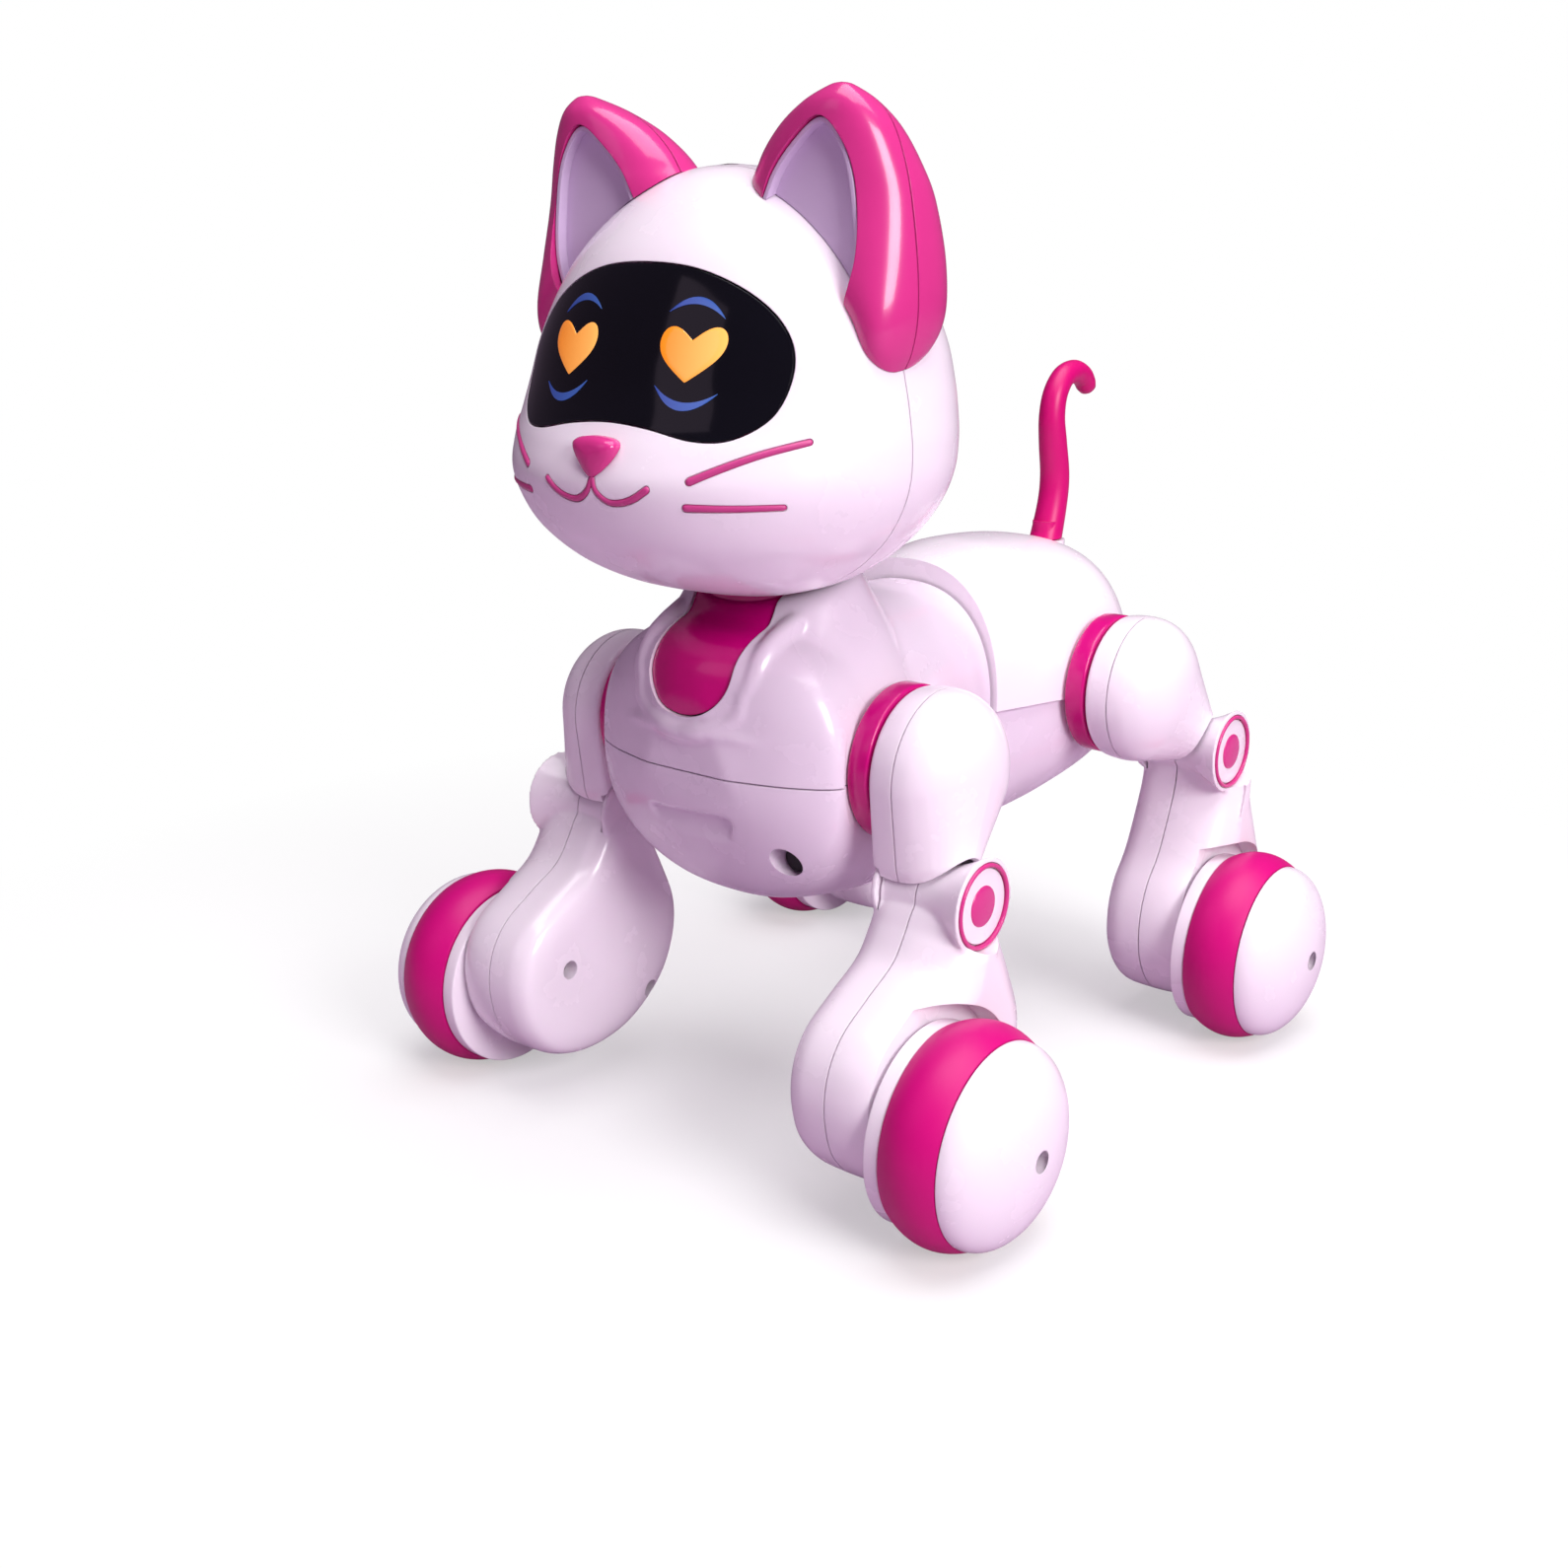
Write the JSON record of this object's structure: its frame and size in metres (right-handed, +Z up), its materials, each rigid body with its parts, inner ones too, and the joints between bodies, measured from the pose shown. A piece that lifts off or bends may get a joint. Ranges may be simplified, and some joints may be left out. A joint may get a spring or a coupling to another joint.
{
  "type": "robot cat toy",
  "caption": "Wheeled robot kitten toy with jointed legs, a turning and nodding head with a dark visor, pointed ears and a curled tail.",
  "frame": {"origin": "on the floor, on the middle plane, midway between the front and rear wheel axles", "axes": "+Z up; the cat faces -Y; +X is the side of its left legs"},
  "size_m": [0.1994, 0.2152, 0.254],
  "materials": {
    "pearl_shell": "glossy pearl white with a faint pink and lavender cast",
    "magenta": "glossy magenta",
    "ear_pink": "glossy lighter pink",
    "lavender": "satin lavender",
    "visor_black": "mirror-smooth smoked black",
    "tail_rubber": "smooth soft rubber",
    "tyre_magenta": "smooth elastomer, low gloss",
    "drive_housing": "moulded, matt",
    "battery_wrap": "shrink wrap, satin",
    "board_green": "solder-masked board"
  },
  "bodies": {
    "torso": {"chest_cover": "pearl_shell", "back_cover": "pearl_shell", "belly_shell": "pearl_shell", "chest_bib": "magenta", "battery_door": "pearl_shell", "battery_pack": "battery_wrap", "main_board": "board_green", "speaker": "drive_housing", "front_hip_gearbox": "drive_housing", "rear_hip_gearbox": "drive_housing"},
    "neck": {"neck_post": "magenta"},
    "head": {"head_front_shell": "pearl_shell", "head_rear_shell": "pearl_shell", "face_visor": "visor_black", "nose": "ear_pink", "eye_display": "drive_housing", "ear_front_left": "ear_pink", "ear_front_right": "ear_pink", "ear_rear_left": "ear_pink", "ear_rear_right": "ear_pink", "ear_inner_left": "lavender", "ear_inner_right": "lavender"},
    "tail_body": {"tail": "tail_rubber"},
    "power_slider": {"power_switch": "drive_housing"},
    "upper_leg_front_left": {"hip_ring_front_left": "magenta", "upper_inner_front_left": "pearl_shell", "upper_outer_front_left": "pearl_shell"},
    "lower_leg_front_left": {"lower_inner_front_left": "pearl_shell", "lower_outer_front_left": "pearl_shell", "knee_cap_front_left": "ear_pink"},
    "wheel_front_left": {"wheel_hub_front_left": "pearl_shell", "wheel_tyre_front_left": "tyre_magenta", "wheel_dome_front_left": "pearl_shell"},
    "upper_leg_front_right": {"hip_ring_front_right": "magenta", "upper_inner_front_right": "pearl_shell", "upper_outer_front_right": "pearl_shell"},
    "lower_leg_front_right": {"lower_inner_front_right": "pearl_shell", "lower_outer_front_right": "pearl_shell", "knee_cap_front_right": "ear_pink"},
    "wheel_front_right": {"wheel_hub_front_right": "pearl_shell", "wheel_tyre_front_right": "tyre_magenta", "wheel_dome_front_right": "pearl_shell"},
    "upper_leg_rear_left": {"hip_ring_rear_left": "magenta", "upper_inner_rear_left": "pearl_shell", "upper_outer_rear_left": "pearl_shell"},
    "lower_leg_rear_left": {"lower_inner_rear_left": "pearl_shell", "lower_outer_rear_left": "pearl_shell", "knee_cap_rear_left": "ear_pink"},
    "wheel_rear_left": {"wheel_hub_rear_left": "pearl_shell", "wheel_tyre_rear_left": "tyre_magenta", "wheel_dome_rear_left": "pearl_shell"},
    "upper_leg_rear_right": {"hip_ring_rear_right": "magenta", "upper_inner_rear_right": "pearl_shell", "upper_outer_rear_right": "pearl_shell"},
    "lower_leg_rear_right": {"lower_inner_rear_right": "pearl_shell", "lower_outer_rear_right": "pearl_shell", "knee_cap_rear_right": "ear_pink"},
    "wheel_rear_right": {"wheel_hub_rear_right": "pearl_shell", "wheel_tyre_rear_right": "tyre_magenta", "wheel_dome_rear_right": "pearl_shell"}
  },
  "joints": [
    {"name": "head_turn", "type": "hinge", "parent": "torso", "child": "neck", "pos_m": [0, -0.047, 0.139], "axis": [0, 0, 1], "range_deg": [-35, 35]},
    {"name": "head_nod", "type": "hinge", "parent": "neck", "child": "head", "pos_m": [0, -0.047, 0.16], "axis": [1, 0, 0], "range_deg": [-6, 6]},
    {"name": "tail_swivel", "type": "hinge", "parent": "torso", "child": "tail_body", "pos_m": [0, 0.085, 0.1345], "axis": [0, 0, 1], "range_deg": [-45, 45]},
    {"name": "power_slide", "type": "slide", "parent": "torso", "child": "power_slider", "axis": [1, 0, 0], "range_m": [0, 0.003]},
    {"name": "hip_front_left", "type": "hinge", "parent": "torso", "child": "upper_leg_front_left", "pos_m": [0.0404, -0.044, 0.102], "axis": [1, 0, 0], "range_deg": [-40, 15]},
    {"name": "knee_front_left", "type": "hinge", "parent": "upper_leg_front_left", "child": "lower_leg_front_left", "pos_m": [0.054, -0.053, 0.0745], "axis": [1, 0, 0], "range_deg": [-15, 15]},
    {"name": "wheel_spin_front_left", "type": "hinge", "parent": "lower_leg_front_left", "child": "wheel_front_left", "pos_m": [0.0777, -0.0726, 0.027], "axis": [1, 0, 0], "continuous": true},
    {"name": "hip_front_right", "type": "hinge", "parent": "torso", "child": "upper_leg_front_right", "pos_m": [-0.0404, -0.044, 0.102], "axis": [1, 0, 0], "range_deg": [-40, 15]},
    {"name": "knee_front_right", "type": "hinge", "parent": "upper_leg_front_right", "child": "lower_leg_front_right", "pos_m": [-0.054, -0.053, 0.0745], "axis": [1, 0, 0], "range_deg": [-15, 15]},
    {"name": "wheel_spin_front_right", "type": "hinge", "parent": "lower_leg_front_right", "child": "wheel_front_right", "pos_m": [-0.0777, -0.0726, 0.027], "axis": [1, 0, 0], "continuous": true},
    {"name": "hip_rear_left", "type": "hinge", "parent": "torso", "child": "upper_leg_rear_left", "pos_m": [0.0404, 0.055, 0.102], "axis": [1, 0, 0], "range_deg": [-15, 35]},
    {"name": "knee_rear_left", "type": "hinge", "parent": "upper_leg_rear_left", "child": "lower_leg_rear_left", "pos_m": [0.054, 0.075, 0.0825], "axis": [1, 0, 0], "range_deg": [-15, 15]},
    {"name": "wheel_spin_rear_left", "type": "hinge", "parent": "lower_leg_rear_left", "child": "wheel_rear_left", "pos_m": [0.0777, 0.0726, 0.027], "axis": [1, 0, 0], "continuous": true},
    {"name": "hip_rear_right", "type": "hinge", "parent": "torso", "child": "upper_leg_rear_right", "pos_m": [-0.0404, 0.055, 0.102], "axis": [1, 0, 0], "range_deg": [-15, 35]},
    {"name": "knee_rear_right", "type": "hinge", "parent": "upper_leg_rear_right", "child": "lower_leg_rear_right", "pos_m": [-0.054, 0.075, 0.0825], "axis": [1, 0, 0], "range_deg": [-15, 15]},
    {"name": "wheel_spin_rear_right", "type": "hinge", "parent": "lower_leg_rear_right", "child": "wheel_rear_right", "pos_m": [-0.0777, 0.0726, 0.027], "axis": [1, 0, 0], "continuous": true}
  ]
}
